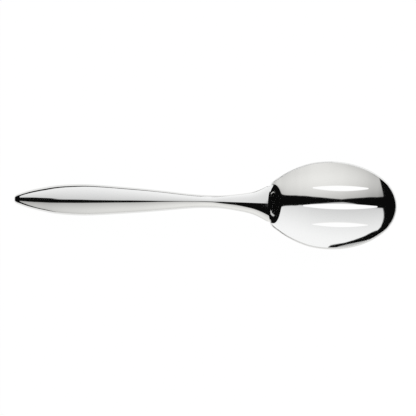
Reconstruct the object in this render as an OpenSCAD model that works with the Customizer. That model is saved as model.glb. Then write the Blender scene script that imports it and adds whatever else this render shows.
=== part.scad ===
// Slotted serving spoon in polished stainless steel, with a hollow handle.
// The bowl is pressed from sheet and has three long slots. The handle is two pressed half
// shells, welded along their seam, which flare at the neck and are welded to the bowl's heel.
// A tang bar behind the heel stiffens the narrow neck.
// X runs from the butt to the tip of the bowl, Y runs across, and the table is at Z = 0.

/* [Spoon] */
// Length from the butt to the tip of the bowl
spoon_length = 254; // [230:1:290]

/* [Bowl] */
// Length of the bowl from the corners of its heel to its tip
bowl_length = 83.5; // [76:0.5:92]
// Width of the bowl over its rim
bowl_width = 58.8; // [52:0.2:66]
// Distance from the heel's corners to the widest place
widest_from_heel = 37.8; // [34:0.2:42]
// Depth of the bowl inside, below its rim
bowl_depth = 13; // [9:0.5:16]
// Thickness of the bowl's sheet
bowl_sheet = 1.6; // [1.2:0.1:2]
// Rise of the rim along the bowl's length, towards the tip
rim_rise = 1.5; // [0:0.1:4]
// Depth of metal worn off flat where the underside rests
rest_flat = 0.35; // [0.2:0.05:0.6]

/* [Heel] */
// Width over the corners of the heel
heel_width = 25.7; // [22:0.1:30]
// Height of the heel edge's middle above its corners
heel_crown = 2; // [1:0.1:3]
// How far the heel edge's middle lies behind its corners
heel_bow = 1.8; // [0.5:0.1:3]
// Length over which the steep heel wall runs out into the floor
heel_run = 10; // [8:0.5:13]
// Length of heel wall that the handle's mouth covers from below
heel_reach = 5.8; // [5:0.1:7]
// Width of the weld bead under the heel
heel_bead = 1.5; // [1:0.1:2]

/* [Slots] */
// Width of a slot at its middle
slot_width = 3.65; // [2.5:0.05:4.5]
// Width of a slot at its blunt ends
slot_end_width = 0.9; // [0.6:0.1:1.4]
// Length of the middle slot
middle_slot_length = 49; // [42:0.5:54]
// Length of each side slot
side_slot_length = 36.8; // [30:0.2:40]
// Distance from the middle slot to each side slot
slot_pitch = 12; // [9:0.1:14]
// Distance from the heel's corners to the middle of the slots
slots_from_heel = 46.8; // [44:0.2:48]

/* [Handle] */
// Width of the handle at its widest
handle_width = 20.8; // [16:0.1:24]
// Height of the handle's section there
handle_thickness = 10.4; // [9:0.1:13]
// Distance from the butt to the widest place
widest_from_butt = 47; // [38:0.5:56]
// Width of the handle behind its rounded butt
butt_width = 7.5; // [6:0.1:9]
// Height of the section there
butt_thickness = 5.6; // [4.6:0.1:7]
// Length of the butt's rounding
butt_rounding = 4.6; // [3.6:0.1:6]
// Width of the neck at its narrowest
neck_width = 8.4; // [7.4:0.1:10]
// Height of the neck's section there
neck_thickness = 6.6; // [6:0.1:8]
// Length of the flare from the narrowest neck to the heel's corners
flare_length = 39.8; // [34:0.2:46]
// Depth of the flare's mouth below the seam
mouth_depth = 5.7; // [5:0.1:6.5]
// Height of the seam above the table where the handle arches highest
arch_height = 21; // [18:0.5:30]
// Distance from the heel's corners back to the highest place
arch_from_heel = 48; // [40:1:60]
// Wall of the pressed shells
shell_wall = 0.9; // [0.7:0.05:1.1]

/* [Tang] */
// Length of the tang bar behind the heel
tang_length = 72; // [60:1:80]
// Width of the bar
tang_width = 4; // [3:0.1:4.4]
// Thickness of the bar
tang_thickness = 2.2; // [1.6:0.1:2.4]

/* [Hidden] */

// Places along X
butt_x = -spoon_length / 2;
tip_x = spoon_length / 2;
heel_x = tip_x - bowl_length;
handle_length = heel_x - butt_x;
widest_x = heel_x + widest_from_heel;
slots_x = heel_x + slots_from_heel;
neck_x = heel_x - flare_length;
arch_x = heel_x - arch_from_heel;
middle_start = slots_x - middle_slot_length / 2;
middle_end = slots_x + middle_slot_length / 2;
side_start = slots_x - side_slot_length / 2;
side_end = slots_x + side_slot_length / 2;

// Outline of the rim: places as shares of the length before and after the widest place, and
// half widths as shares of the way from heel to full width, and of full width
rise_place_shares = [0, 0.071, 0.177, 0.28, 0.386, 0.526, 0.738, 1];
rise_width_shares = [0, 0.17, 0.348, 0.505, 0.638, 0.783, 0.934, 1];
fall_place_shares = [0.219, 0.394, 0.567, 0.742, 0.829, 0.915, 1];
fall_width_shares = [0.98, 0.925, 0.83, 0.677, 0.565, 0.422, 0];

// The sheet leans outwards at the rim, so the edge of its inner face lies this far inside
side_lip = bowl_sheet * sin(2 * atan(2 * bowl_depth / bowl_width));
bowl_half = bowl_width / 2 - side_lip;
// Every cross-section is an arc, and arc_base is the height of its centre above the rim
arc_base = (pow(bowl_half, 2) - pow(bowl_depth, 2)) / (2 * bowl_depth);
function lip(half) = bowl_sheet * half / norm([half, arc_base]);
heel_half = heel_width / 2 - lip(heel_width / 2);
last_fall = len(fall_place_shares) - 2;
tip_run = (1 - fall_place_shares[last_fall]) * (tip_x - widest_x);
tip_slope = pow(fall_width_shares[last_fall] * bowl_half, 2) / tip_run / (2 * arc_base);
inner_tip_x = tip_x - bowl_sheet * sin(atan(tip_slope));
rim_height = bowl_depth + bowl_sheet - rest_flat;

// Columns of the grids run along the spoon: three of them follow the edges of the slots
column_shares = [0, 0.065, 0.14, 0.215, 0.29, 0.36, 0.49, 0.6, 0.71, 0.82, 0.92, 0.975, 1];
middle_edge = 1;
side_inner_edge = 5;
side_outer_edge = 6;
last = len(column_shares) - 1;
signed_columns = [for (k = [-last : last]) k];

// Rows of the bowl's grid: the heel wall, the run to the slots, the slots and the tip
heel_rows = 4;
run_shares = [0.25, 0.5, 0.75, 1];
end_rows = 2;
slot_rows = 12;
tip_rows = 7;

// Small step for measuring a slope
probe = bowl_sheet / 100;

function mix(a, b, share) = a + (b - a) * share;
function unit(v) = v / norm(v);

// A smooth curve through the points whose places and values two lists give
function span(places, x, i = 0) =
    i > len(places) - 3 || x < places[i + 1] ? i : span(places, x, i + 1);
function lean(places, values, i) =
    let (a = max(i - 1, 0), b = min(i + 1, len(places) - 1))
    (values[b] - values[a]) / (places[b] - places[a]);
function curve(places, values, x) =
    let (i = span(places, x), h = places[i + 1] - places[i], t = (x - places[i]) / h)
    values[i] * (1 + 2 * t) * pow(1 - t, 2)
    + values[i + 1] * (3 - 2 * t) * pow(t, 2)
    + lean(places, values, i) * h * t * pow(1 - t, 2)
    - lean(places, values, i + 1) * h * (1 - t) * pow(t, 2);

// Half width of the bowl inside its rim. The squares are what is interpolated, because
// they run straight into a round end
rim_places = concat(
    [for (share = rise_place_shares) heel_x + share * widest_from_heel],
    [for (share = fall_place_shares) mix(widest_x, inner_tip_x, share)]
);
rim_squares = concat(
    [for (share = rise_width_shares) pow(mix(heel_half, bowl_half, share), 2)],
    [for (share = fall_width_shares) pow(share * bowl_half, 2)]
);
function rim_square(x) = curve(rim_places, rim_squares, max(x, heel_x));
function rim_half(x) = x < inner_tip_x ? sqrt(rim_square(x)) : 0;
function rim_z(x) = rim_height + rim_rise * (x - widest_x) / bowl_length;

// The inner face of the bowl: arcs below the rim, lifted at the heel into a steep wall
// whose top edge crowns upwards and bows back
flare_power = 4;
function edge_x(share) = heel_x - heel_bow * (1 - pow(share, 2));
function heel_section(share) = 1 - pow(share, flare_power);
function heel_lift(share) =
    heel_crown * heel_section(share)
    + norm([heel_half * sqrt(1 - pow(share, 2)), arc_base]) - arc_base;
function heel_rest(x, share) = max(1 - (x - edge_x(share)) / heel_run, 0);
function arc_radius(x, y) = sqrt(rim_square(x) + pow(arc_base, 2) - pow(y, 2));
function across(x, y) = x < inner_tip_x ? min(abs(y) / rim_half(x), 1) : 0;
function inside_point(x, y) =
    let (share = across(x, y))
    [
        x,
        y,
        rim_z(x) + arc_base - arc_radius(x, y) + heel_lift(share) * pow(heel_rest(x, share), 2)
    ];
function inside_normal(x, y) =
    let (
        share = across(x, y),
        from = max(x, heel_x),
        widening = (rim_square(from + probe) - rim_square(from)) / probe,
        wall_slope = heel_lift(share) * 2 * heel_rest(x, share) / heel_run,
        slope = rim_rise / bowl_length - widening / (2 * arc_radius(x, y)) - wall_slope
    )
    unit([-slope, -y / arc_radius(x, y), 1]);
// The underside lies one sheet away, and is worn flat at the table
function outside_point(x, y) =
    let (p = inside_point(x, y) - bowl_sheet * inside_normal(x, y))
    [p.x, p.y, max(p.z, 0)];

// Half widths of the slots, which are lenses with blunt ends
function lens(x, length) =
    mix(slot_end_width, slot_width, max(1 - pow((x - slots_x) / (length / 2), 2), 0)) / 2;
// Past the ends of a slot its columns draw in with the rim
function draw_in(x, start, end) = rim_half(x) / rim_half(max(min(x, end), start));
function slot_column(k, x) =
    let (
        c = column_shares,
        middle = lens(x, middle_slot_length) * draw_in(x, middle_start, middle_end),
        side = lens(x, side_slot_length),
        side_draw = draw_in(x, side_start, side_end),
        inner = (slot_pitch - side) * side_draw,
        outer = (slot_pitch + side) * side_draw
    )
    k == 0 ? 0
    : k <= side_inner_edge
        ? mix(middle, inner, (c[k] - c[middle_edge]) / (c[side_inner_edge] - c[middle_edge]))
        : mix(outer, rim_half(x), (c[k] - c[side_outer_edge]) / (1 - c[side_outer_edge]));

// Rows as [place along X at the middle, share of the way from heel columns to slot columns]
function wall_row_x(i, share) = edge_x(share) + heel_reach * (i / heel_rows) * (1 - pow(share, 2));
mouth_x = wall_row_x(heel_rows, 0);
bead_share = heel_bead / (middle_start - mouth_x);
run_rows = concat([bead_share], run_shares);
function run_row_x(t, share) = mix(wall_row_x(heel_rows, share), middle_start, t);
slot_row_xs = concat(
    [for (n = [1 : end_rows]) mix(middle_start, side_start, n / end_rows)],
    [for (n = [1 : slot_rows]) mix(side_start, side_end, n / slot_rows)],
    [for (n = [1 : end_rows]) mix(side_end, middle_end, n / end_rows)],
    [for (n = [1 : tip_rows]) mix(inner_tip_x, middle_end, pow(1 - n / tip_rows, 2))]
);
middle_first = heel_rows + len(run_rows);
side_first = middle_first + end_rows;
side_last = side_first + slot_rows;
middle_last = side_last + end_rows;

function column_sign(k) = k < 0 ? -1 : 1;
function wall_place(i, k) =
    let (share = column_shares[abs(k)], x = wall_row_x(i, share))
    [x, column_sign(k) * share * rim_half(max(x, heel_x))];
function run_place(t, k) =
    let (share = column_shares[abs(k)], x = run_row_x(t, share))
    [x, column_sign(k) * mix(share * rim_half(x), slot_column(abs(k), x), t)];
function slot_place(x, k) = [x, column_sign(k) * slot_column(abs(k), x)];
bowl_places = concat(
    [for (i = [0 : heel_rows]) [for (k = signed_columns) wall_place(i, k)]],
    [for (t = run_rows) [for (k = signed_columns) run_place(t, k)]],
    [for (x = slot_row_xs) [for (k = signed_columns) slot_place(x, k)]]
);
inside = [for (row = bowl_places) [for (p = row) inside_point(p.x, p.y)]];
outside = [for (row = bowl_places) [for (p = row) outside_point(p.x, p.y)]];

// Cells of the bowl's grid that are left out for the slots
function is_slot(i, j) =
    (i >= middle_first && i < middle_last && (j == last - middle_edge || j == last))
    || (i >= side_first && i < side_last
        && (j == last + side_inner_edge || j == last - side_outer_edge));

// A plate between two grids of points, top and bottom, with walls round its edge and round
// every group of cells that is open. Cells that shrink to an edge at a pole drop out
function is_whole(points, t) =
    points[t[0]] != points[t[1]] && points[t[1]] != points[t[2]] && points[t[2]] != points[t[0]];
module plate(top, bottom, is_open = function(i, j) false) {
    rows = len(top) - 1;
    columns = len(top[0]) - 1;
    points = [for (grid = [top, bottom], row = grid, p = row) p];
    function at(side, i, j) = (side * (rows + 1) + i) * (columns + 1) + j;
    function is_metal(i, j) = i >= 0 && i < rows && j >= 0 && j < columns && !is_open(i, j);
    quads = [
        for (i = [0 : rows - 1], j = [0 : columns - 1])
            if (is_metal(i, j))
                each [
                    [at(0, i, j), at(0, i, j + 1), at(0, i + 1, j + 1), at(0, i + 1, j)],
                    [at(1, i, j), at(1, i + 1, j), at(1, i + 1, j + 1), at(1, i, j + 1)],
                    if (!is_metal(i, j - 1))
                        [at(0, i, j), at(0, i + 1, j), at(1, i + 1, j), at(1, i, j)],
                    if (!is_metal(i, j + 1))
                        [at(0, i, j + 1), at(1, i, j + 1), at(1, i + 1, j + 1), at(0, i + 1, j + 1)],
                    if (!is_metal(i - 1, j))
                        [at(0, i, j), at(1, i, j), at(1, i, j + 1), at(0, i, j + 1)],
                    if (!is_metal(i + 1, j))
                        [at(0, i + 1, j), at(0, i + 1, j + 1), at(1, i + 1, j + 1), at(1, i + 1, j)]
                ]
    ];
    triangles = [for (q = quads) each [[q[0], q[1], q[2]], [q[0], q[2], q[3]]]];
    polyhedron(points, [for (t = triangles) if (is_whole(points, t)) t]);
}

// Sizes along the handle: shares of each stretch's length, and of the way from one named
// size to the next, at the butt, up to the widest place, down to the neck and in the flare
butt_place_shares = [0, 0.14, 0.49, 1];
butt_size_shares = [0, 0.533, 0.827, 1];
swell_place_shares = [0.157, 0.344, 0.531, 0.72, 1];
swell_size_shares = [0.203, 0.504, 0.79, 0.915, 1];
taper_place_shares = [0.143, 0.286, 0.429, 0.572, 0.714, 0.81, 0.905, 1];
taper_size_shares = [0.081, 0.218, 0.363, 0.54, 0.734, 0.871, 0.968, 1];
flare_place_shares = [0.201, 0.4, 0.6, 0.734, 0.867, 1];
flare_size_shares = [0.017, 0.116, 0.26, 0.42, 0.68, 1];

butt_end_x = butt_x + butt_rounding;
swell_x = butt_x + widest_from_butt;
girth_places = concat(
    [for (share = butt_place_shares) mix(butt_x, butt_end_x, share)],
    [for (share = swell_place_shares) mix(butt_end_x, swell_x, share)],
    [for (share = taper_place_shares) mix(swell_x, neck_x, share)],
    [for (share = flare_place_shares) mix(neck_x, heel_x, share)]
);
function girth_squares(butt, body, neck, heel) =
    concat(
        [for (share = butt_size_shares) pow(mix(0, butt, share), 2)],
        [for (share = swell_size_shares) pow(mix(butt, body, share), 2)],
        [for (share = taper_size_shares) pow(mix(body, neck, share), 2)],
        [for (share = flare_size_shares) pow(mix(neck, heel, share), 2)]
    );
half_squares = girth_squares(butt_width / 2, handle_width / 2, neck_width / 2, heel_width / 2);
upper_squares =
    girth_squares(butt_thickness / 2, handle_thickness / 2, neck_thickness / 2, heel_crown);
lower_squares =
    girth_squares(butt_thickness / 2, handle_thickness / 2, neck_thickness / 2, mouth_depth);
function girth(squares, x) = x > butt_x ? sqrt(curve(girth_places, squares, x)) : 0;

// The seam's height: up from the butt to the arch, then down to the heel's corners
climb_place_shares = [0, 0.2, 0.4, 0.6, 0.8, 1];
climb_height_shares = [0, 0.215, 0.43, 0.65, 0.87, 1];
descent_place_shares = [0.2, 0.4, 0.6, 0.8, 1];
descent_height_shares = [0.06, 0.2, 0.42, 0.7, 1];
seam_places = concat(
    [for (share = climb_place_shares) mix(butt_x, arch_x, share)],
    [for (share = descent_place_shares) mix(arch_x, heel_x, share)]
);
seam_heights = concat(
    [for (share = climb_height_shares) mix(butt_thickness / 2, arch_height, share)],
    [for (share = descent_height_shares) mix(arch_height, rim_z(heel_x), share)]
);
function drawn_seam_z(x) = curve(seam_places, seam_heights, x);

// Rings of the handle, closer together at the butt
butt_rings = 6;
swell_rings = 8;
taper_rings = 12;
flare_rings = 8;
last_ring_share = 0.89;
ring_xs = concat(
    [for (n = [0 : butt_rings]) mix(butt_x, butt_end_x, pow(n / butt_rings, 2))],
    [for (n = [1 : swell_rings]) mix(butt_end_x, swell_x, n / swell_rings)],
    [for (n = [1 : taper_rings]) mix(swell_x, neck_x, n / taper_rings)],
    [for (n = [1 : flare_rings]) mix(neck_x, heel_x, last_ring_share * n / flare_rings)]
);
// The handle leans until the underside of its butt meets the table
butt_lift = min([for (x = ring_xs) drawn_seam_z(x) - girth(lower_squares, x)]);
function seam_z(x) = drawn_seam_z(x) - butt_lift * (heel_x - x) / handle_length;

// Half section of a shell: 1 over the seam's middle and 0 at the seam. The handle has a soft
// ridge, and the flare is flat beside it with round sides, and ends in the heel's section
ridge_power = 1.75;
flare_ridge = 0.3;
flattening_share = 0.5;
function section(share, x) =
    let (
        opening = min(max((x - neck_x) / flare_length, 0), 1),
        flattening = min(opening / flattening_share, 1),
        flatness = pow(flattening, 2) * (3 - 2 * flattening),
        power = mix(ridge_power, flare_power, flatness),
        rounded = pow(1 - pow(share, power), 1 / power)
    )
    mix(
        mix(rounded, 1 - share, flare_ridge * flatness),
        heel_section(share),
        pow(opening, 2)
    );
function shell_row(x, at_x, half, height) = [
    for (k = signed_columns)
        let (share = column_shares[abs(k)])
        [at_x, column_sign(k) * share * half, seam_z(at_x) + height * section(share, x)]
];
// The inner face ends one wall short of the butt, and closes where the walls meet
inner_zone = widest_from_butt / 4;
function inner_x(x) =
    x + shell_wall * max(1 - (x - butt_x) / inner_zone, 0);
function inner_half(x) = max(girth(half_squares, x) - shell_wall, 0);
function inner_height(squares, x) = inner_half(x) > 0 ? max(girth(squares, x) - shell_wall, 0) : 0;
function outer_rows(squares, side) =
    [for (x = ring_xs) shell_row(x, x, girth(half_squares, x), side * girth(squares, x))];
function inner_rows(squares, side) =
    [for (x = ring_xs) shell_row(x, inner_x(x), inner_half(x), side * inner_height(squares, x))];

// At the heel the upper shell ends on the sheet's edge, and the lower shell on its back
upper_outside = concat(outer_rows(upper_squares, 1), [inside[0]]);
upper_inside = concat(inner_rows(upper_squares, 1), [outside[0]]);
// Near the heel's corners the seam leaves no room for the lower wall, so this many columns
// gather in the corner there
corner_columns = 4;
function gathered(row) = [
    for (j = [0 : 2 * last])
        row[j < corner_columns ? 0 : j > 2 * last - corner_columns ? 2 * last : j]
];
lower_outside = concat(outer_rows(lower_squares, -1), [gathered(outside[heel_rows])]);
lower_inside = concat(inner_rows(lower_squares, -1), [gathered(outside[heel_rows - 1])]);

// The seam's bead fills the corner between the shells, from the first to the last free ring
bead_columns = 2;
bead_first_ring = butt_rings;
bead_last_ring = len(ring_xs) - 1;
function cut(rows, from, to, first, final) = [
    for (i = [from : to]) [for (j = [first : final]) rows[i][j]]
];

// The tang's sections, and the patch of the heel wall's back that its end is welded to
tang_width_shares = [-1, -0.5, 0, 0.5, 1];
tang_reach = floor(len(tang_width_shares) / 2);
tang_rings = 12;
tang_patch_row = 1;
tang_end_share = 0.9;
tang_start_x = heel_x - tang_length;
tang_end_x = mix(neck_x, heel_x, tang_end_share);
tang_xs = [for (n = [0 : tang_rings]) mix(tang_start_x, tang_end_x, n / tang_rings)];
function tang_row(side) = [
    for (x = tang_xs)
        [for (share = tang_width_shares)
            [x, share * tang_width / 2, seam_z(x) + side * tang_thickness / 2]]
];
function tang_patch(i) = [for (j = [last - tang_reach : last + tang_reach]) outside[i][j]];

module bowl() {
    color("gainsboro")
        plate(inside, outside, function(i, j) is_slot(i, j));
}

module tang() {
    color("darkgray")
        plate(
            concat(tang_row(1), [tang_patch(tang_patch_row)]),
            concat(tang_row(-1), [tang_patch(tang_patch_row + 1)])
        );
}

module handle_upper_shell() {
    color("silver")
        plate(upper_outside, upper_inside);
}

module handle_lower_shell() {
    color("lightgray")
        plate(lower_inside, lower_outside);
}

module seam_weld() {
    color("dimgray")
        for (first = [0, 2 * last - bead_columns])
            plate(
                cut(upper_inside, bead_first_ring, bead_last_ring, first, first + bead_columns),
                cut(lower_inside, bead_first_ring, bead_last_ring, first, first + bead_columns)
            );
}

module heel_weld() {
    columns = [corner_columns : 2 * last - corner_columns];
    root = [for (j = columns) outside[heel_rows][j]];
    bowl_toe = [for (j = columns) outside[heel_rows + 1][j]];
    shell_toe = [
        for (j = columns)
            let (to_shell = lower_outside[bead_last_ring][j] - outside[heel_rows][j])
            outside[heel_rows][j] + unit(to_shell) * heel_bead
    ];
    face = (bowl_toe + shell_toe) / 2;
    color("dimgray")
        plate([shell_toe, root, bowl_toe], [shell_toe, face, bowl_toe]);
}

bowl();
tang();
handle_upper_shell();
handle_lower_shell();
seam_weld();
heel_weld();
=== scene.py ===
# %% [markdown]
# # A slotted serving spoon in mirror-polished steel
#
# The real spoon is made of three pressings of stainless sheet. One is the bowl, with three
# lens-shaped slots punched through it. The other two are the halves of a hollow handle, welded
# together along their sides and polished until the seam is gone. A short fillet of weld holds
# the lower half under the bowl. This lesson presses the same pieces from flat blanks, then
# gives them a polish and puts them under two large soft lights.

import bpy
import numpy as np
from mathutils import Matrix, Vector


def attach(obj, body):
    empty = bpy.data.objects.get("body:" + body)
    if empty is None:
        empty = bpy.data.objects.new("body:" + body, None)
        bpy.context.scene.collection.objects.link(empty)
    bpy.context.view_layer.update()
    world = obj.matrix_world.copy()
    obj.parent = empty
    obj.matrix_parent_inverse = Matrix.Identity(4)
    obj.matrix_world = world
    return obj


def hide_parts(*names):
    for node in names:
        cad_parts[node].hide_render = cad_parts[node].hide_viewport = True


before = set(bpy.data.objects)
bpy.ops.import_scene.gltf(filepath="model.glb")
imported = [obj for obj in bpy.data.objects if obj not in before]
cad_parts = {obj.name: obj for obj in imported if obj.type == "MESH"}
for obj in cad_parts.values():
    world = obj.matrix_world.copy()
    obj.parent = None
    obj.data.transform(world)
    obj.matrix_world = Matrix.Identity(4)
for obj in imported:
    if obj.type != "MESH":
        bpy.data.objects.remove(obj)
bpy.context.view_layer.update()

# %% [markdown]
# ## The spoon's sizes
#
# These are the sizes of the real spoon in millimetres, in the frame's own axes: +X runs to the
# tip of the bowl, and the table is at zero height. They could be read off the frame's boxes,
# but a box has no neck and no slots, so they are written out, each once. Blender works in
# metres, so a mesh gets its points through MM.

# %% Sizes and places
MM = 0.001
spoon_length, bowl_length, bowl_width = 254.0, 83.5, 58.8
widest_from_heel, bowl_depth, bowl_sheet = 37.8, 13.0, 1.6
rim_rise, rest_flat = 1.5, 0.35
heel_width, heel_crown, heel_bow, heel_reach, heel_bead = 25.7, 2.0, 1.8, 5.8, 1.5
handle_width, handle_thickness, widest_from_butt = 20.8, 10.4, 47.0
butt_width, butt_thickness, butt_rounding = 8.2, 5.6, 4.6
neck_width, neck_thickness, flare_length, mouth_depth = 8.4, 6.6, 39.8, 5.7
arch_height, arch_from_heel, shell_wall = 21.0, 48.0, 0.9
slot_width, slot_end_width, slot_pitch = 3.65, 0.9, 12.0
middle_slot_length, side_slot_length, slots_from_heel = 49.0, 36.8, 46.8

tip_x = spoon_length / 2
butt_x = -tip_x
heel_x = tip_x - bowl_length
handle_length = heel_x - butt_x
widest_x = heel_x + widest_from_heel
neck_x = heel_x - flare_length
arch_x = heel_x - arch_from_heel
slots_x = heel_x + slots_from_heel
middle_start, middle_end = slots_x - middle_slot_length / 2, slots_x + middle_slot_length / 2
side_start, side_end = slots_x - side_slot_length / 2, slots_x + side_slot_length / 2
print("heel at", heel_x, "widest at", widest_x, "neck at", round(neck_x, 2))


# %% [markdown]
# ## Smooth lines through a few stations
#
# A toolmaker fairs a line through a handful of measured stations. A Bezier curve drawn by eye
# could do it too, but its handles are hard to set twice alike. So this puts a cubic between
# each two stations, and the stations are shares of a stretch, as on a pattern maker's drawing.
# Widths go in as squares, because a square runs straight into a round end, where the width
# itself would arrive with an endless slope.

# %% A fair line
def mix(a, b, share):
    return a + (b - a) * np.asarray(share, float)


def fair(places, values, x):
    places, values, x = (np.asarray(v, float) for v in (places, values, x))
    before = np.maximum(np.arange(len(places)) - 1, 0)
    after = np.minimum(np.arange(len(places)) + 1, len(places) - 1)
    lean = (values[after] - values[before]) / (places[after] - places[before])
    i = np.clip(np.searchsorted(places, x, side="right") - 1, 0, len(places) - 2)
    h = places[i + 1] - places[i]
    t = (x - places[i]) / h
    return (
        values[i] * (1 + 2 * t) * (1 - t) ** 2
        + values[i + 1] * (3 - 2 * t) * t**2
        + lean[i] * h * t * (1 - t) ** 2
        - lean[i + 1] * h * (1 - t) * t**2
    )


# %% The rim of the bowl, seen from above
# Stations up to the widest place and down to the tip, as shares of the way and of the width
rise_places = np.array([0, 0.071, 0.177, 0.28, 0.386, 0.526, 0.738, 1])
rise_widths = np.array([0, 0.17, 0.348, 0.505, 0.638, 0.783, 0.934, 1])
fall_places = np.array([0.219, 0.394, 0.567, 0.742, 0.829, 0.915, 1])
fall_widths = np.array([0.98, 0.925, 0.83, 0.677, 0.5696, 0.4169, 0])
# The inner rim lies inside the outer one by what the leaning sheet takes up, seen from above
bowl_half = bowl_width / 2 - bowl_sheet * np.sin(2 * np.arctan(2 * bowl_depth / bowl_width))
arc_base = (bowl_half**2 - bowl_depth**2) / (2 * bowl_depth)
heel_half = heel_width / 2 * (1 - bowl_sheet / np.hypot(heel_width / 2, arc_base))
tip_slope = (fall_widths[-2] * bowl_half) ** 2 / (
    (1 - fall_places[-2]) * (tip_x - widest_x) * 2 * arc_base
)
inner_tip_x = tip_x - bowl_sheet * np.sin(np.arctan(tip_slope))
rim_places = np.r_[
    heel_x + rise_places * widest_from_heel, mix(widest_x, inner_tip_x, fall_places)
]
rim_squares = np.r_[mix(heel_half, bowl_half, rise_widths), fall_widths * bowl_half] ** 2


def rim_square(x):
    return fair(rim_places, rim_squares, np.clip(x, heel_x, inner_tip_x))


def rim_half(x):
    return np.sqrt(np.maximum(rim_square(x), 0))


def rim_z(x):
    return bowl_depth + bowl_sheet - rest_flat + rim_rise * (x - widest_x) / bowl_length


print("rim half width", rim_half(widest_x).round(2), "inner tip at", inner_tip_x.round(2))

# %% [markdown]
# ## The handle's lines
#
# The handle is drawn with three lines along its length: how wide it is, how thick each half is,
# and how high the seam between the halves runs. From the butt the seam climbs in a low arch and
# comes down to the corners of the heel.

# %% Widths, thicknesses and the seam
butt_end_x, swell_x = butt_x + butt_rounding, butt_x + widest_from_butt
girth_places = np.r_[
    mix(butt_x, butt_end_x, [0, 0.14, 0.49, 1]),
    mix(butt_end_x, swell_x, [0.157, 0.344, 0.531, 0.72, 1]),
    mix(swell_x, neck_x, [0.143, 0.286, 0.429, 0.572, 0.714, 0.81, 0.905, 1]),
    mix(neck_x, heel_x, [0.201, 0.4, 0.6, 0.734, 0.867, 1]),
]


def girth_squares(butt, body, neck, heel):
    """The squares of a half width or half thickness at the stations above."""
    return (
        np.r_[
            mix(0, butt, [0, 0.533, 0.79, 1]),
            mix(butt, body, [0.33, 0.605, 0.825, 0.94, 1]),
            mix(body, neck, [0.081, 0.218, 0.363, 0.54, 0.734, 0.871, 0.968, 1]),
            mix(neck, heel, [0.017, 0.116, 0.26, 0.42, 0.68, 1]),
        ]
        ** 2
    )


body_halves = (handle_thickness / 2, neck_thickness / 2)
half_squares = girth_squares(butt_width / 2, handle_width / 2, neck_width / 2, heel_width / 2)
upper_squares = girth_squares(butt_thickness / 2, *body_halves, heel_crown)
lower_squares = girth_squares(butt_thickness / 2, *body_halves, mouth_depth)


def girth(squares, x):
    return np.sqrt(np.maximum(fair(girth_places, squares, np.maximum(x, butt_x)), 0))


seam_places = np.r_[
    mix(butt_x, arch_x, [0, 0.2, 0.4, 0.6, 0.8, 1]),
    mix(arch_x, heel_x, [0.2, 0.4, 0.6, 0.8, 1]),
]
seam_heights = np.r_[
    mix(butt_thickness / 2, arch_height, [0, 0.215, 0.43, 0.65, 0.87, 1]),
    mix(arch_height, rim_z(heel_x), [0.06, 0.2, 0.42, 0.7, 1]),
]
lengthwise = np.linspace(butt_x, heel_x, 400)
underside = fair(seam_places, seam_heights, lengthwise) - girth(lower_squares, lengthwise)
butt_lift = underside.min()


def seam_z(x):
    return fair(seam_places, seam_heights, x) - butt_lift * (heel_x - x) / handle_length


print("the butt is let down by", butt_lift.round(3), "mm, so that it rests on the table")

# %% [markdown]
# ## The handle's section
#
# Across, each half is a soft ridge: rounder than a roof and more pointed than a circle. That is
# what draws the thin line down the middle of the polished handle. At the butt the polisher has
# taken the ridge down to a narrow flat land, and there the line widens. Towards the bowl the
# ridge flattens into a shoulder with round sides, and ends in the shallow crown of the heel's
# edge. A bevelled and subdivided bar has nearly this section. A formula with a power for its
# roundness has it exactly, and lets the section change along the handle by one number.

# %% The section of a shell
ridge_power, flare_power, flare_ridge, flattening_share = 1.75, 4.0, 0.3, 0.5
land_half, land_end_x, land_length, most_land_share = 0.9, butt_x + 48, 34.0, 0.45


def section(share, x):
    """How high the ridge stands at a share of its half width, as a share of its own height."""
    land = land_half * np.clip((land_end_x - x) / land_length, 0, 1) ** 1.5
    land_share = np.minimum(land / np.maximum(girth(half_squares, x), 0.01), most_land_share)
    share = np.clip((np.abs(share) - land_share) / (1 - land_share), 0, 1)
    opening = np.clip((x - neck_x) / flare_length, 0, 1)
    flattening = np.minimum(opening / flattening_share, 1)
    flatness = flattening**2 * (3 - 2 * flattening)
    power = mix(ridge_power, flare_power, flatness)
    rounded = (1 - share**power) ** (1 / power)
    shoulder = mix(rounded, 1 - share, flare_ridge * flatness)
    return mix(shoulder, 1 - share**flare_power, opening**2)


def edge_x(share):
    """Where the heel's edge runs, at a share of its half width."""
    return heel_x - heel_bow * (1 - share**2)


def edge_z(share):
    """How high the heel's edge is there, on the upper shell's own surface."""
    x = edge_x(share)
    own_share = share * heel_half / girth(half_squares, x)
    return seam_z(x) + girth(upper_squares, x) * section(own_share, x)


print("the heel's edge is", edge_z(0.0).round(2), "mm high in the middle")

# %% [markdown]
# ## The inner face of the bowl
#
# Every cross-section of the bowl is an arc that hangs from the rim. At the heel a wall climbs
# out of it and ends in the crisp edge where the handle begins. The wall is as steep as a roof
# from its foot to its edge, and its foot draws in towards the heel's two corners. On the heel's
# side of the bowl the last millimetres below the rim are let out, nearly to a straight line
# under 45 degrees, so that they mirror the light and not the other side of the bowl. The
# sheet's back lies one thickness away, square to the face, and is worn flat where it stands.
# Sculpting could give the same bowl, but each slight wave of the hand would show in the mirror.

# %% Face and back of the bowl
wall_length, foot_roundness, least_wall_length, wall_fade, corner_run = 8.6, 0.12, 0.15, 6, 6.0
let_out_slope, least_arc, arc_from, arc_run = 0.74, 0.2, 68, 40
corner_lift = edge_z(1.0) - rim_z(heel_x)
inset = 0.03


def wall_foot(share):
    return wall_length * (1 - share**3)


def ramp(done):
    """A straight fall from 1 to 0 with a rounded foot."""
    left = 1 - done
    rounded = left + np.sqrt(left**2 + foot_roundness**2)
    return rounded / (1 + np.sqrt(1 + foot_roundness**2))


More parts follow.
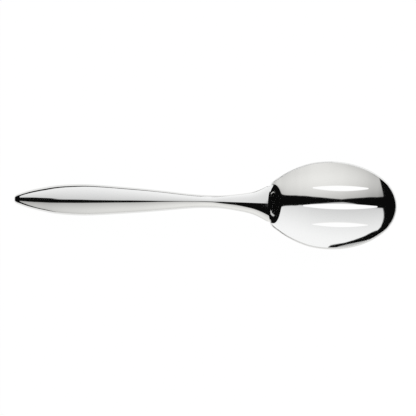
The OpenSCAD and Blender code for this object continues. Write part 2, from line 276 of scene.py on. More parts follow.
def arc_share(x):
    """How much of the arc is left in the last millimetres below the rim."""
    done = np.clip((x - arc_from) / arc_run, 0, 1)
    return mix(least_arc, 1, done**2 * (3 - 2 * done))


def inside_z(x, y):
    """The height of the inner face: an arc, let out below the rim, and the wall at the heel."""
    half = np.maximum(rim_half(x), 1e-6)
    share = np.minimum(np.abs(y) / half, 1)
    past_edge = x - edge_x(share)
    arc_lift = np.hypot(heel_half * np.sqrt(1 - share**2), arc_base) - arc_base
    lift = edge_z(share) - rim_z(edge_x(share)) + arc_lift - corner_lift
    wall = lift * ramp(past_edge / (wall_foot(share) + least_wall_length))
    wall = wall + corner_lift * np.clip(1 - past_edge / corner_run, 0, 1) ** 2
    square = rim_square(x) + arc_base**2
    arc_end = np.sqrt(square) * let_out_slope / np.hypot(1, let_out_slope)
    on_arc = np.minimum(np.abs(y), arc_end)
    line = arc_base - np.sqrt(square - on_arc**2) + let_out_slope * (np.abs(y) - on_arc)
    arc = arc_base - np.sqrt(square - y**2)
    before_slots = np.clip((middle_start - x) / wall_fade, 0, 1)
    return rim_z(x) + mix(line, arc, arc_share(x)) + wall * before_slots


def slope_normal(height, x, y, probe=0.02):
    """Which way a surface looks, from its height just before, behind and beside the point."""
    along = (height(x + probe, y) - height(x - probe, y)) / (2 * probe)
    across = (height(x, y + probe) - height(x, y - probe)) / (2 * probe)
    normal = np.stack([-along, -across, np.ones_like(along)], -1)
    return normal / np.linalg.norm(normal, axis=-1, keepdims=True)


def bowl_faces(x, y):
    face = np.stack([x, y, inside_z(x, y)], -1)
    # The slope is read just inside the rim, where both sides of the probe are still metal
    half = np.maximum(rim_half(x) - inset, 0)
    normal = slope_normal(inside_z, np.minimum(x, inner_tip_x - inset), np.clip(y, -half, half))
    back = face - bowl_sheet * normal
    back[..., 2] = np.maximum(back[..., 2], 0)
    return face, back


inside_depth = rim_z(slots_x) - inside_z(slots_x, 0.0)
print("inside, the bowl is", inside_depth.round(2), "mm deep in its middle")


# %% [markdown]
# ## A blank and a press
#
# Sheet is bought flat, cut to a blank, and pressed between a punch and a die. A grid primitive
# is the blank here. Its cells are one unit long, so that every point can tell its row and its
# column by where it lies. Solidify gives it a top and a bottom while it is still flat, which
# keeps the two faces apart however deep the press goes, and then each point moves to its place
# on the punch's or the die's face. Pulling and scaling rings by hand would do for a matt spoon.
# On a mirror the least unevenness bends the reflections, so here a formula says where the
# points go.

# %% Cut a blank
def cut_blank(name, rows, columns, is_open=None):
    bpy.ops.object.select_all(action="DESELECT")
    bpy.ops.mesh.primitive_grid_add(x_subdivisions=rows, y_subdivisions=columns, size=2)
    blank = bpy.context.object
    blank.name = blank.data.name = name
    bpy.ops.object.mode_set(mode="EDIT")
    bpy.ops.transform.translate(value=(1, 1, 0))
    bpy.ops.transform.resize(
        value=(rows / 2 * MM, columns / 2 * MM, 1), center_override=(0, 0, 0)
    )
    if is_open:
        bpy.ops.mesh.select_mode(type="FACE")
        bpy.ops.mesh.select_all(action="DESELECT")
        bpy.ops.object.mode_set(mode="OBJECT")
        for cell in blank.data.polygons:
            cell.select = bool(is_open(int(cell.center.x / MM), int(cell.center.y / MM)))
        bpy.ops.object.mode_set(mode="EDIT")
        bpy.ops.mesh.delete(type="FACE")
    bpy.ops.object.mode_set(mode="OBJECT")
    sheet = blank.modifiers.new("Sheet", "SOLIDIFY")
    sheet.thickness, sheet.offset = MM, -1
    bpy.ops.object.modifier_apply(modifier=sheet.name)
    return blank


# %% Press it
def press(blank, top, bottom, merge_distance=2e-6):
    mesh = blank.data
    flat = np.empty(3 * len(mesh.vertices))
    mesh.vertices.foreach_get("co", flat)
    flat = flat.reshape(-1, 3) / MM
    row, column = np.rint(flat[:, 0]).astype(int), np.rint(flat[:, 1]).astype(int)
    is_bottom = flat[:, 2] < -0.5
    for name, numbers in (("row", row), ("column", column), ("is_bottom", is_bottom)):
        mark = mesh.attributes.new(name, "INT", "POINT")
        mark.data.foreach_set("value", numbers.astype(np.int32))
    pressed = np.where(is_bottom[:, None], bottom[row, column], top[row, column])
    mesh.vertices.foreach_set("co", (pressed * MM).ravel())
    bpy.ops.object.mode_set(mode="EDIT")
    bpy.ops.mesh.select_mode(type="VERT")
    bpy.ops.mesh.select_all(action="SELECT")
    # Points that were pressed into one place, as at the end of the butt, become one
    bpy.ops.mesh.remove_doubles(threshold=merge_distance)
    bpy.ops.object.mode_set(mode="OBJECT")
    print(blank.name, "pressed:", len(mesh.vertices), "points,", len(mesh.polygons), "faces")


def marks(mesh, name):
    """The row, the column or the side of the sheet that each point was cut with."""
    numbers = np.empty(len(mesh.vertices), np.int32)
    mesh.attributes[name].data.foreach_get("value", numbers)
    return numbers


# %% [markdown]
# ## Laying out the slots
#
# A slot is a lens: widest in its middle, and drawn in to a narrow round end. A Boolean
# modifier could punch it, and would leave long thin triangles that a mirror shows. Here columns
# of the bowl's blank run along the edges of the slots, so that a slot is nothing but cells left
# out and the metal round it stays an even net. Rows crowd together at the slots' ends to make
# them round.


# %% The slots' outlines
def lens(x, length):
    """Half the width of a slot, round at its ends."""
    share = np.abs(x - slots_x) / (length / 2)
    half = mix(slot_end_width, slot_width, np.maximum(1 - share**2, 0)) / 2
    to_end = np.clip((1 - share) * length / slot_end_width, 0, 1)
    return np.where(share > 1, half, half * np.sqrt(1 - (1 - to_end) ** 2))


def draw_in(x, start, end):
    """How far the rim pulls the columns together before a slot and past it."""
    return rim_half(x) / rim_half(np.clip(x, start, end))


print("a slot is", 2 * lens(slots_x, middle_slot_length).round(3), "mm wide in its middle")


# %% Columns and rows of the bowl's blank
# Columns from the middle outwards: half the middle slot, the land, a side slot, the flank
middle_columns, land_columns, slot_width_columns, flank_columns = 3, 12, 4, 22
side_inner = middle_columns + land_columns
side_outer = side_inner + slot_width_columns
half_columns = side_outer + flank_columns
border_columns = [0, middle_columns, side_inner, side_outer, half_columns]
shares = np.interp(np.arange(half_columns + 1), border_columns, [0, 0.065, 0.36, 0.49, 1])


def slot_columns(x):
    """Where the columns cross the bowl at x, from its middle to its rim."""
    side, draw = lens(x, side_slot_length), draw_in(x, side_start, side_end)
    middle = lens(x, middle_slot_length) * draw_in(x, middle_start, middle_end)
    borders = [0, middle, (slot_pitch - side) * draw, (slot_pitch + side) * draw, rim_half(x)]
    return np.interp(np.arange(half_columns + 1), border_columns, borders)


# Rows from the heel's edge on: down the wall, on to the slots, along them, round the tip
wall_rows, run_rows, tip_rows = 24, 20, 14
crowd = np.array([0.03, 0.12, 0.27, 0.45])
slot_rows = np.r_[
    middle_start + crowd, np.linspace(middle_start + 1, side_start, 10),
    side_start + crowd, np.linspace(side_start + 1, side_end - 1, 56),
    side_end - crowd[::-1], side_end,
    np.linspace(side_end + 0.6, middle_end - 1, 8), middle_end - crowd[::-1], middle_end,
]
middle_first = wall_rows + run_rows
middle_last = middle_first + len(slot_rows)
side_first, side_last = middle_first + 1 + np.searchsorted(slot_rows, [side_start, side_end])
print(len(slot_rows), "rows along the slots, the side slots from", side_first, "to", side_last)

# %% [markdown]
# ## The net of the bowl
#
# The net starts at the heel's edge, fans out to the slots and runs along them. Past the slots
# it could close in a point at the tip, but a mirror shows every pinch in a net. So the tip is a
# four-sided patch instead: its far side lies along the rim, from corner to corner.

# %% Plan of the bowl's net
past_foot = 1.2
wall_t = np.linspace(0, 1, wall_rows + 1)[:, None]
wall_x = edge_x(shares) + past_foot * wall_foot(shares) * wall_t
wall_y = shares * rim_half(np.maximum(wall_x, heel_x))
run_t = np.linspace(0, 1, run_rows + 1)[1:, None]
run_x = mix(wall_x[-1], middle_start, run_t)
run_y = np.array([
    mix(shares * rim_half(row), [slot_columns(x)[k] for k, x in enumerate(row)], t)
    for t, row in zip(run_t[:, 0], run_x)
])
slots_y = np.array([slot_columns(x) for x in slot_rows])
slots_x_rows = np.repeat(slot_rows[:, None], half_columns + 1, 1)
print(wall_rows, "rows down the wall, then", run_rows, "rows on to the slots")

# %% The patch at the tip
corner_x, crowding = 120.6, 0.3
start_y = slots_y[-1]
start_row = start_y / start_y[-1]
tip_t = (np.arange(1, tip_rows + 1) / tip_rows)[:, None]
# The patch's far side runs on the rim from the middle of the tip to the corner, a little denser
# near the corner. Its flank runs on the rim from the end of the slots to the same corner.
far_y = mix(start_row, np.sin(start_row * np.pi / 2), crowding) * rim_half(corner_x)
# The rim is read backwards here: where is it as wide as each point of the far side?
round_tip = np.linspace(inner_tip_x, corner_x, 4000)
far_x = np.interp(far_y, rim_half(round_tip), round_tip)
flank_y = rim_half(mix(middle_end, corner_x, tip_t))
tip_x_rows = mix(middle_end, far_x, tip_t)
tip_y_rows = (
    mix(start_y, far_y, tip_t)
    + start_row * (flank_y - mix(start_y[-1], far_y[-1], tip_t))
)

half_x = np.vstack([wall_x, run_x, slots_x_rows, tip_x_rows])
half_y = np.vstack([wall_y, run_y, slots_y, tip_y_rows])
half_y = np.minimum(half_y, rim_half(np.maximum(half_x, heel_x)))
plan_x = np.hstack([half_x[:, :0:-1], half_x])
plan_y = np.hstack([-half_y[:, :0:-1], half_y])
bowl_rows, bowl_columns = plan_x.shape[0] - 1, plan_x.shape[1] - 1
print("the bowl's net has", bowl_rows, "rows and", bowl_columns, "columns")


# %% Punch and press the bowl
def is_slot(row, column):
    off_axis = abs(column + 0.5 - half_columns)
    in_middle = middle_first <= row < middle_last and off_axis < middle_columns
    in_side = side_first <= row < side_last and side_inner < off_axis < side_outer
    return in_middle or in_side


bowl = cut_blank("bowl_skin", bowl_rows, bowl_columns, is_slot)
press(bowl, *bowl_faces(plan_x, plan_y))

# %% [markdown]
# ## Easing the rim
#
# A pressed sheet has sharp edges, and nobody would eat with it. On the real spoon the rim is
# rounded over by polishing. The rounding starts from nothing at the heel, where the handle
# takes over, and is a little finer round the tip. Bevelling the selected rim in edit mode would
# make it the same all round. So a Bevel modifier does it, which takes its width at each edge
# from that edge's bevel weight.


# %% Round the rim over
def ease_rim(piece, width, weight_at):
    """Bevel the rim's edges by the width times what weight_at says for their place along X."""
    mesh = piece.data
    row, column, bottom = (marks(mesh, name) for name in ("row", "column", "is_bottom"))
    weights = np.zeros(len(mesh.edges), np.float32)
    for edge in mesh.edges:
        a, b = edge.vertices
        ends_on_rim = all(column[v] in (0, bowl_columns) or row[v] == bowl_rows for v in (a, b))
        along_rim = column[a] == column[b] or row[a] == row[b] == bowl_rows
        if ends_on_rim and along_rim and bottom[a] == bottom[b]:
            middle = (mesh.vertices[a].co + mesh.vertices[b].co) / 2
            weights[edge.index] = weight_at(middle.x / MM)
    mesh.attributes.new("bevel_weight_edge", "FLOAT", "EDGE").data.foreach_set("value", weights)
    rounding = piece.modifiers.new("Rounding", "BEVEL")
    rounding.limit_method, rounding.width, rounding.segments = "WEIGHT", width * MM, 3
    # Clamping would thin the whole rim to suit its tightest corner
    rounding.use_clamp_overlap = False
    bpy.context.view_layer.objects.active = piece
    bpy.ops.object.modifier_apply(modifier=rounding.name)
    mesh = piece.data
    if "bevel_weight_edge" in mesh.attributes:
        mesh.attributes.remove(mesh.attributes["bevel_weight_edge"])
    print(piece.name, "eased", (weights > 0).sum(), "edges by up to", width, "mm")


def rim_weight(x):
    """Nothing at the heel, the full rounding along the sides, and less of it round the tip."""
    return np.interp(x, [heel_x, heel_x + 5, 100, 110], [0, 1, 1, 0.7])


rim_rounding = 0.45
ease_rim(bowl, rim_rounding, rim_weight)

# %% [markdown]
# ## The shells of the handle
#
# A hollow handle is two pressings. Rings of the net lie across the handle and crowd together at
# the round butt, and columns crowd towards the seam, where the side stands upright. The inner
# face is one wall further in. A tube that is scaled ring by ring would be one piece, and the
# real handle is two, so each half is pressed from its own blank, with the same rings and
# columns, so that the halves meet point to point along the seam.

# %% Rings and columns of the shells
half_points, seam_crowding = 32, 1.25
side_shares = np.arange(half_points + 1) / half_points
side_shares = np.sin(np.pi / 2 * side_shares**seam_crowding)
across = np.r_[-side_shares[:0:-1], side_shares]
last_ring_x = mix(neck_x, heel_x, 0.89)
ring_xs = np.r_[
    mix(butt_x, butt_end_x, (np.arange(18) / 18) ** 2),
    np.linspace(butt_end_x, swell_x, 40)[:-1],
    np.linspace(swell_x, neck_x, 70)[:-1],
    np.linspace(neck_x, last_ring_x, 40),
]
print(len(ring_xs), "rings of", len(across), "points")


def shell_rows(squares, side, wall):
    """The rings of a half: side is 1 for the upper and -1 for the lower, wall is how far in."""
    x = ring_xs[:, None]
    # The inner face ends short of the butt, so that the round end has a wall as well
    inner_zone = widest_from_butt / 4
    at_x = x + wall * np.maximum(1 - (x - butt_x) / inner_zone, 0)
    half = np.maximum(girth(half_squares, x) - wall, 0)
    height = np.where(half > 0, np.maximum(girth(squares, x) - wall, 0), 0)
    y = across * half
    z = seam_z(at_x) + side * height * section(across, x)
    return np.stack([at_x + 0 * y, y, z], -1)


# %% [markdown]
# ## The mouths of the shells
#
# At the bowl the upper shell ends on the heel's edge, and the lower one ends underneath, on the
# bowl's back. The last rows of each net run from the last ring to that line. Extruding the open
# ends and snapping them to the bowl would leave a kink at the ring, which is why the upper rows
# stay on the shell's own surface, and the lower ones bend over to the bowl on a cubic.


# %% The last rows of the upper shell
mouth_t = np.linspace(0, 1, 9)[1:, None, None]


def upper_mouth():
    """The rows from the last ring to the heel's edge, on the shell's own surface."""
    edge_share = np.abs(across)
    # The edge's place depends on the share and the share on the place: four rounds settle it
    for _ in range(4):
        own_half = girth(half_squares, edge_x(edge_share))
        edge_share = np.minimum(np.abs(across) * own_half / heel_half, 1)
    x = mix(last_ring_x, edge_x(edge_share), mouth_t[..., 0])
    y = across * girth(half_squares, x)
    z = seam_z(x) + girth(upper_squares, x) * section(across, x)
    rows = np.stack([x, y, z], -1)
    # The outermost columns come down on the edge of the bowl's sheet, as far as its middle
    face, back = bowl_faces(np.full(2, heel_x), np.array([-heel_half, heel_half]))
    past_face = np.abs(across) * heel_width / 2 - heel_half
    past_face = np.clip(past_face / (heel_width / 2 - heel_half), 0, 1)[:, None]
    side = (across > 0).astype(int)
    on_sheet = mix(face[side], back[side], past_face / 2)
    return rows + np.where(past_face > 0, on_sheet - rows[-1], 0) * mouth_t**3


# %% The last rows of the lower shell
def to_back(rows, back):
    """The rows from the last ring to a row on the bowl's back, without a kink at the ring."""
    start, lean = rows[-1], rows[-1] - rows[-2]
    reach = np.linalg.norm(back - start, axis=-1, keepdims=True)
    lean = lean / np.linalg.norm(lean, axis=-1, keepdims=True) * reach
    t = mouth_t
    return (
        start * (1 + 2 * t) * (1 - t) ** 2
        + back * (3 - 2 * t) * t**2
        + lean * t * (1 - t) ** 2
        - (back - start) * (1 - t) * t**2
    )


def back_row(share, wall_share):
    """A row on the bowl's back: under the heel's edge, or further under the wall."""
    x = edge_x(share) + heel_reach * wall_share * (1 - share**2)
    return bowl_faces(x, share * rim_half(np.maximum(x, heel_x)))[1]


# %% Put the rings and the mouths together
# Near the heel's corners the seam leaves the lower wall no room, so its columns gather there
free_share, gather_share = 0.71, 0.82
gathered = np.sign(across) * np.interp(
    np.abs(across), [0, free_share, gather_share, 1], [0, free_share, 1, 1]
)
upper_outside = shell_rows(upper_squares, 1, 0)
upper_inside = shell_rows(upper_squares, 1, shell_wall)
upper_outside = np.vstack([upper_outside, upper_mouth()])
upper_inside = np.vstack([upper_inside, mix(upper_inside[-1], back_row(across, 0.0), mouth_t)])
lower_outside = shell_rows(lower_squares, -1, 0)
lower_inside = shell_rows(lower_squares, -1, shell_wall)
# The gathered columns climb the sheet's own edge, up to where the upper shell ends
corner_climb = np.clip((np.abs(across) - gather_share) / (1 - gather_share), 0, 1)[:, None]
side_end = upper_outside[-1, np.where(across > 0, -1, 0)]
lower_end = mix(back_row(gathered, 1.0), side_end, corner_climb)
lower_outside = np.vstack([lower_outside, to_back(lower_outside, lower_end)])
lower_outside[len(ring_xs):, [0, -1]] = upper_outside[len(ring_xs):, [0, -1]]
lower_inside = np.vstack([lower_inside, to_back(lower_inside, back_row(gathered, 0.75))])
# Past the face the columns come down on the sheet's edge, so the step is measured up to there
edge_row = upper_outside[-1, np.abs(across) * heel_width / 2 <= heel_half]
edge_gap = inside_z(edge_row[:, 0], edge_row[:, 1]) - edge_row[:, 2]
print("step at the heel's edge", np.abs(edge_gap).max().round(4), "mm")

# %% Press the shells
shell_size = (len(upper_outside) - 1, len(across) - 1)
upper_shell = cut_blank("handle_upper_skin", *shell_size)
press(upper_shell, upper_outside, upper_inside)
lower_shell = cut_blank("handle_lower_skin", *shell_size)
press(lower_shell, lower_inside, lower_outside)

# %% [markdown]
# ## The fillet under the heel
#
# Underneath, a bead of filler runs along the line where the lower shell meets the bowl, and is
# ground hollow and polished over. A curve with a round bevel would look like a fresh weld. The
# ground one is a third blank, narrow and curved in across its width, whose two long edges lie
# on the shell and on the bowl's back.

# %% Press the fillet
fillet_rows, hollow_share = 6, 0.45
weld_columns = np.abs(across) <= free_share
weld_across = across[weld_columns]
root = back_row(weld_across, 1.0)
run_share = heel_bead / (middle_start - (edge_x(0.0) + heel_reach))
toe_x = mix(edge_x(weld_across) + heel_reach * (1 - weld_across**2), middle_start, run_share)
bowl_toe = bowl_faces(toe_x, weld_across * rim_half(toe_x))[1]
mouth_lines = lower_outside[len(ring_xs) - 1:, weld_columns]
from_root = np.linalg.norm(mouth_lines - root, axis=-1)
shell_toe = np.array([
    [np.interp(heel_bead, from_root[::-1, k], mouth_lines[::-1, k, axis]) for axis in range(3)]
    for k in range(len(weld_across))
])
# Across its width the face is a curve from toe to toe, drawn in towards the root
hollow = mix(root, (bowl_toe + shell_toe) / 2, hollow_share)
t = np.linspace(0, 1, fillet_rows + 1)[:, None, None]
fillet_face = shell_toe * (1 - t) ** 2 + hollow * 2 * t * (1 - t) + bowl_toe * t**2
fillet_root = np.where(t < 0.5, mix(shell_toe, root, 2 * t), mix(root, bowl_toe, 2 * t - 1))
fillet = cut_blank("heel_fillet", fillet_rows, len(weld_across) - 1)
press(fillet, fillet_root, fillet_face)

# %% [markdown]
# ## A polished surface
#
# Polishing takes out every facet, so the shading has to as well. Smooth shading does it, with
# the real edges kept sharp by their angle. A mirror still shows every uneven cell of a net, and
# more cells would only make the waves finer. So the bowl and the shells also get the exact
# direction of their surface at each corner, and the shells get it straight across the seam,
# because the real seam is polished away.


# %% Shade the fillet
def shade(piece, sharp_from=40):
    bpy.ops.object.select_all(action="DESELECT")
    piece.select_set(True)
    bpy.context.view_layer.objects.active = piece
    bpy.ops.object.shade_smooth_by_angle(angle=np.radians(sharp_from))
    print(piece.name, "is shaded smooth, and stays sharp from", sharp_from, "degrees")


shade(fillet)
weighted = fillet.modifiers.new("Broad faces lead", "WEIGHTED_NORMAL")
weighted.keep_sharp = True
bpy.ops.object.modifier_apply(modifier=weighted.name)


# %% Shade the bowl
def bowl_directions(points, near=0.02, behind_edge=2):
    """Which way the bowl's face or back looks at each point, or nothing on its eased edges."""
    x, y, z = points.T
    half = np.maximum(rim_half(x) - inset, 0)

    def face_normal(x, y):
        x = np.clip(x, heel_x - behind_edge, inner_tip_x - inset)
        return slope_normal(inside_z, x, np.clip(y, -half, half))

    normals = np.zeros_like(points)
    on_face = np.abs(inside_z(x, y) - z) < near
    normals[on_face] = face_normal(x, y)[on_face]
    from_x, from_y = x, y
    # Each round comes closer to the place on the face that a point of the back was set off from
    for _ in range(6):
        lean = face_normal(from_x, from_y)
        from_x, from_y = x + bowl_sheet * lean[:, 0], y + bowl_sheet * lean[:, 1]
    back_z = inside_z(from_x, from_y) - bowl_sheet * lean[:, 2]
    on_back = (np.abs(back_z - z) < near) & ~on_face
    normals[on_back] = -lean[on_back]
    return normals


shade(bowl)
mesh = bowl.data
points = np.empty(3 * len(mesh.vertices))
mesh.vertices.foreach_get("co", points)
directions = bowl_directions(points.reshape(-1, 3) / MM)
# A facet that looks well away from the bowl's own direction is on an edge, and keeps its own
least_agreement = 0.6
custom = []
for face in mesh.polygons:
    for v in face.vertices:
        agrees = directions[v] @ np.array(face.normal) > least_agreement
        custom.append(tuple(directions[v]) if agrees else (0, 0, 0))
mesh.normals_split_custom_set(custom)
print("bowl polished over", sum(n != (0, 0, 0) for n in custom), "of", len(custom), "corners")


# %% Shade the shells across the seam
def cross_normals(grid):
    """The directions square to a closed net, from the points on either side of each."""
    along = np.gradient(grid, axis=0)
    round_it = np.roll(grid, -1, 1) - np.roll(grid, 1, 1)
    normal = np.cross(along, round_it)
    return normal / np.maximum(np.linalg.norm(normal, axis=-1, keepdims=True), 1e-12)


closed = np.concatenate([upper_outside, lower_outside[:, -2:0:-1]], 1)
closed_normals = cross_normals(closed)
# The first ring is one point at the end of the butt, and looks straight back
closed_normals[0] = (-1, 0, 0)
upper_normals = closed_normals[:, : len(across)]
lower_normals = np.concatenate(
    [closed_normals[:, :1], closed_normals[:, : len(across) - 2 : -1]], 1
)


def polish(piece, normals, outer_is_bottom):
    """Give the outer face of a shell its exact directions. The rest keeps its own."""
    mesh = piece.data
    row, column, bottom = (marks(mesh, name) for name in ("row", "column", "is_bottom"))
    shade(piece)
    outer = bottom == int(outer_is_bottom)
    custom = []
    for face in mesh.polygons:
        on_skin = all(outer[v] for v in face.vertices)
        for v in face.vertices:
            custom.append(tuple(normals[row[v], column[v]]) if on_skin else (0, 0, 0))
    mesh.normals_split_custom_set(custom)
    print(piece.name, "polished over", sum(1 for n in custom if n != (0, 0, 0)), "corners")


polish(upper_shell, upper_normals, False)
polish(lower_shell, lower_normals, True)

# %% [markdown]
# ## Where the pieces belong
#
# The spoon is one rigid body, so all the pieces ride on the root. Each smooth pressing stands
# for the plain solid of the same place. The tang and the seam's weld are inside the handle, so
# nothing would be gained by making them again, and they stay as they come.

# %% Hand the pieces to the frame
smooth_pieces = {
    "bowl": (bowl, "polished_steel"),
    "handle_upper_shell": (upper_shell, "polished_steel"),
    "handle_lower_shell": (lower_shell, "polished_steel"),
    "heel_weld": (fillet, "weld_metal"),
}
for node, (piece, slot) in smooth_pieces.items():
    for name in ("row", "column", "is_bottom"):
        piece.data.attributes.remove(piece.data.attributes[name])
    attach(piece, "root")
    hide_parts(node)
    print(piece.name, "stands for", node)

# %% [markdown]
# ## Writing a finish
#
# A finish is a small recipe of nodes. They could be wired up in the shader editor, but a page
# of arithmetic is easier to read than a board of wires. The first class below lets a recipe be
# written that way: every + or * on a value adds the Math node for it. All other nodes come from
# one method, which takes the node's type, its settings and what goes into its sockets.


# %% Values that do arithmetic, and a recipe to put them in
class Value:
    def __init__(self, recipe, socket):
        self.recipe, self.socket = recipe, socket

    def maths(self, operation, *operands):
        inputs = dict(enumerate(operands))
        return self.recipe.add("ShaderNodeMath", {"operation": operation}, inputs)["Value"]

    def __add__(self, other):
        return self.maths("ADD", self, other)

    def __radd__(self, other):
        return self.maths("ADD", other, self)

    def __sub__(self, other):
        return self.maths("SUBTRACT", self, other)

    def __rsub__(self, other):
        return self.maths("SUBTRACT", other, self)

    def __mul__(self, other):
        return self.maths("MULTIPLY", self, other)

    def __rmul__(self, other):
        return self.maths("MULTIPLY", other, self)

    def __neg__(self):
        return self.maths("MULTIPLY", self, -1.0)

    def __abs__(self):
        return self.maths("ABSOLUTE", self)


class Recipe:
    def __init__(self, tree):
        self.tree = tree
        tree.nodes.clear()

    def add(self, kind, settings=None, inputs=None):
        node = self.tree.nodes.new(kind)
        for name, value in (settings or {}).items():
            setattr(node, name, value)
        for name, value in (inputs or {}).items():
            if isinstance(value, Value):
                self.tree.links.new(value.socket, node.inputs[name])
            else:
                node.inputs[name].default_value = value
        return {output.name: Value(self, output) for output in node.outputs if output.enabled}


def new_finish(name):
    finish = bpy.data.materials.new(name)
    finish.use_nodes = True
    return finish, Recipe(finish.node_tree)


# %% [markdown]
# ## Mirror-polished stainless steel
#
# The spoon is buffed to a mirror, so nearly everything on it is a reflection. What gives the
# metal away is very slight: the buff leaves fine lines along the spoon, and handling leaves
# faint cloudy places that are a little less sharp. A scratch texture would be far too coarse
# for that. Two noises do it, one of them stretched along the spoon. Both change the roughness
# by hundredths, and the lines move the surface by less than a micrometre. The hidden tang and
# the welds have the same recipe with duller numbers.


# %% Mix the polish
def steel(name, colour, roughness, line_depth, cloud, darker=0.965):
    finish, recipe = new_finish(name)
    place = recipe.add("ShaderNodeTexCoord")["Object"]
    stretched = recipe.add(
        "ShaderNodeMapping", {"vector_type": "POINT"},
        {"Vector": place, "Scale": (14.0, 420.0, 420.0)},
    )["Vector"]
    lines = recipe.add(
        "ShaderNodeTexNoise", {}, {"Vector": stretched, "Scale": 6.0, "Detail": 4.0}
    )["Fac"]
    clouds = recipe.add(
        "ShaderNodeTexNoise", {}, {"Vector": place, "Scale": 38.0, "Detail": 3.0}
    )["Fac"]
    rough = roughness + cloud * (clouds - 0.5) + cloud * 0.5 * (lines - 0.5)
    tone = recipe.add(
        "ShaderNodeMix", {"data_type": "RGBA"},
        {"Factor": clouds, "A": (*colour, 1), "B": (*(c * darker for c in colour), 1)},
    )
    bump = recipe.add(
        "ShaderNodeBump", {}, {"Height": lines, "Strength": 1.0, "Distance": line_depth}
    )["Normal"]
    metal = recipe.add(
        "ShaderNodeBsdfPrincipled", {},
        {"Metallic": 1.0, "Base Color": tone["Result"], "Roughness": rough, "Normal": bump},
    )["BSDF"]
    recipe.add("ShaderNodeOutputMaterial", {}, {"Surface": metal})
    return finish


mirror = steel("mirror_polish", (0.80, 0.80, 0.79), 0.05, 1.2e-7, 0.02)
ground = steel("ground_weld", (0.66, 0.66, 0.65), 0.22, 1.5e-6, 0.08)
mill = steel("mill_finish", (0.55, 0.55, 0.54), 0.38, 4e-6, 0.1)

for piece in (bowl, upper_shell, lower_shell):
    piece.data.materials.append(mirror)
fillet.data.materials.append(ground)
for node, finish in (("tang", mill), ("seam_weld", ground)):
    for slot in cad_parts[node].material_slots:
        slot.material = finish
print("finishes:", ", ".join(finish.name for finish in (mirror, ground, mill)))

# %% [markdown]
# ## The floor
#
# The spoon lies on a plain white surface. A matt white floor comes out grey under a light that
# leaves the metal its dark lines, and more light would spoil them. So to the camera and to the
# metal the floor shows its own even white almost wholly, and a trace of the matt floor under
# it keeps the spoon's shadow.

# %% Lay the floor
bpy.ops.object.select_all(action="DESELECT")
bpy.ops.mesh.primitive_plane_add(size=8)
floor = bpy.context.object
floor.name = "floor"
finish, recipe = new_finish("white_floor")
rays = recipe.add("ShaderNodeLightPath")
matt = recipe.add("ShaderNodeBsdfDiffuse", {}, {"Color": (0.9, 0.9, 0.9, 1)})["BSDF"]
white = recipe.add("ShaderNodeEmission", {}, {"Color": (1, 1, 1, 1), "Strength": 1.02})
white_share = 0.96
seen = rays["Is Camera Ray"] + rays["Is Glossy Ray"] + rays["Is Transmission Ray"]
shown = recipe.add(
    "ShaderNodeMixShader", {}, {"Fac": seen * white_share, 1: matt, 2: white["Emission"]}
)["Shader"]
recipe.add("ShaderNodeOutputMaterial", {}, {"Surface": shown})
floor.data.materials.append(finish)
print("the floor is", round(floor.dimensions.x, 1), "m wide")

# %% [markdown]
# ## The light
#
# A mirror has no look of its own, so the light is most of the work. Two very large soft boxes
# stand along the spoon, a cool one behind it and a warm one in front. Between them runs a dark
# gap over the spoon, where the camera looks down, and the gap draws the dark lines along the
# handle and in the bowl. Area lamps could stand for the boxes, but their edges are straight and
# their level is the same all over. So each box is a part of the world, cut out by the direction
# that a ray takes, and its level is a sum in the same direction. The camera itself sees white.

# %% The world and the direction of a ray
world = bpy.data.worlds.new("studio")
bpy.context.scene.world = world
world.use_nodes = True
recipe = Recipe(world.node_tree)
direction = recipe.add("ShaderNodeTexCoord")["Generated"]
parts = recipe.add("ShaderNodeSeparateXYZ", {}, {"Vector": direction})
x, y, z = parts["X"], parts["Y"], parts["Z"]


def inside(value, softness=0.02):
    """1 where the value is above zero and 0 below, with a soft edge."""
    return recipe.add(
        "ShaderNodeMapRange", {"interpolation_type": "SMOOTHSTEP"},
        {"Value": value, "From Min": -softness, "From Max": softness},
    )["Result"]


def at_least(value, limit):
    return value.maths("MAXIMUM", value, limit)


def at_most(value, limit):
    return value.maths("MINIMUM", value, limit)


# %% The outlines of the two boxes
# The gap between the boxes is narrowest at x = -0.13, and far out on the tip's side both draw
# back from it. The box behind has a curved edge on the butt's side of there and a straight one
# on the tip's side. Its other lines cut off its low end over the butt, and its foot.
from_middle = x + 0.13
far_out = at_least(x - 0.85, 0.0)
butt_side = at_most(from_middle, 0.0)
gap = at_least(0.2 * from_middle, at_most(1.15 * (butt_side * butt_side), 0.176))
behind = inside(y + 0.09 * z - far_out - gap)
behind = behind * inside(0.98 * x + 0.31 * y + z) * inside(0.5 * x + z - 0.05)
behind = behind * inside(z + 1.5 * at_least(x - 0.03, 0.0) - 0.11) * inside(z)

# The box in front has two straight edges along the gap, and its foot climbs over the butt
gap = 0.235 * abs(from_middle) - 0.065 * from_middle
front = inside(-y - 0.2 * z - far_out - gap)
front = front * inside(x - 0.36 * y + z) * inside(z - 2 * at_least(-x - 0.42, 0.0))
front = front * inside(z)

# %% [markdown]
# The polish gives back four fifths of the light, so each level is written as it should look on
# the spoon and divided by that. Apart from the boxes the room is nearly dark.

# %% The levels of the boxes
mirror_share, room_level = 0.8, 0.004
behind_level = (0.59 + 0.075 * x + 0.335 * y + 0.1 * (x * x)) * (1 / mirror_share)
front_level = (-0.205 + 0.2 * x - 0.82 * y + 0.58 * z) * (1 / mirror_share)


def light(colour, strength):
    inputs = {"Color": (*colour, 1), "Strength": strength}
    return recipe.add("ShaderNodeBackground", {}, inputs)["Background"]


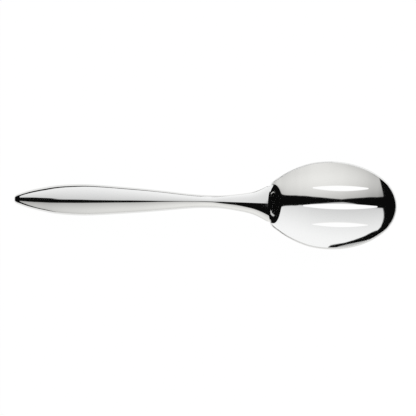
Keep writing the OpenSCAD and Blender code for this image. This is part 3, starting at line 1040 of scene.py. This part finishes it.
def both(one, other):
    return recipe.add("ShaderNodeAddShader", {}, {0: one, 1: other})["Shader"]


cool = light((0.995, 1.0, 1.01), behind * behind_level)
warm = light((1.004, 1.0, 0.985), front * front_level)
studio = both(both(cool, warm), light((1, 1, 1), room_level))
white = light((1, 1, 1), 1.0)
for_camera = recipe.add("ShaderNodeLightPath")["Is Camera Ray"]
shown = recipe.add(
    "ShaderNodeMixShader", {}, {"Fac": for_camera, 1: studio, 2: white}
)["Shader"]
recipe.add("ShaderNodeOutputWorld", {}, {"Surface": shown})
print("the world has", len(world.node_tree.nodes), "nodes")

# %% [markdown]
# ## The camera
#
# The camera hangs almost straight over the spoon, nine tenths of a metre up, and is turned a
# few degrees, so that the spoon lies a little askew in the frame. It could be aimed with a
# constraint, but a constraint can't turn the picture in its frame. So its axes are worked out:
# one points from the target to the camera, and the other two are rolled round it.

# %% Hang the camera
span, distance = 0.2746, 0.9
elevation, azimuth, roll = np.radians([86.33, 4.78, 6.11])
target = Vector((2.39 * MM, -3.63 * MM, 12 * MM))
to_camera = Vector((
    -np.cos(elevation) * np.sin(azimuth),
    -np.cos(elevation) * np.cos(azimuth),
    np.sin(elevation),
))
right = (-to_camera).cross(Vector((0, 0, 1))).normalized()
up = right.cross(-to_camera)
right, up = (
    right * np.cos(roll) + up * np.sin(roll),
    up * np.cos(roll) - right * np.sin(roll),
)
bpy.ops.object.camera_add()
camera = bpy.context.object
camera.matrix_world = Matrix.LocRotScale(
    target + to_camera * distance,
    Matrix((right, up, to_camera)).transposed(),
    (1, 1, 1),
)
camera.data.sensor_width = 36.0
camera.data.lens = camera.data.sensor_width * distance / span
camera.data.clip_end = 20.0
bpy.context.scene.camera = camera
print("lens", round(camera.data.lens, 1), "mm")

# %% [markdown]
# ## Finish
#
# The view transform is Standard, so that a colour in the picture is the colour in the light. A
# filmic one would lift the black lines and grey the white.

# %% Finish
bpy.context.scene.view_settings.view_transform = "Standard"
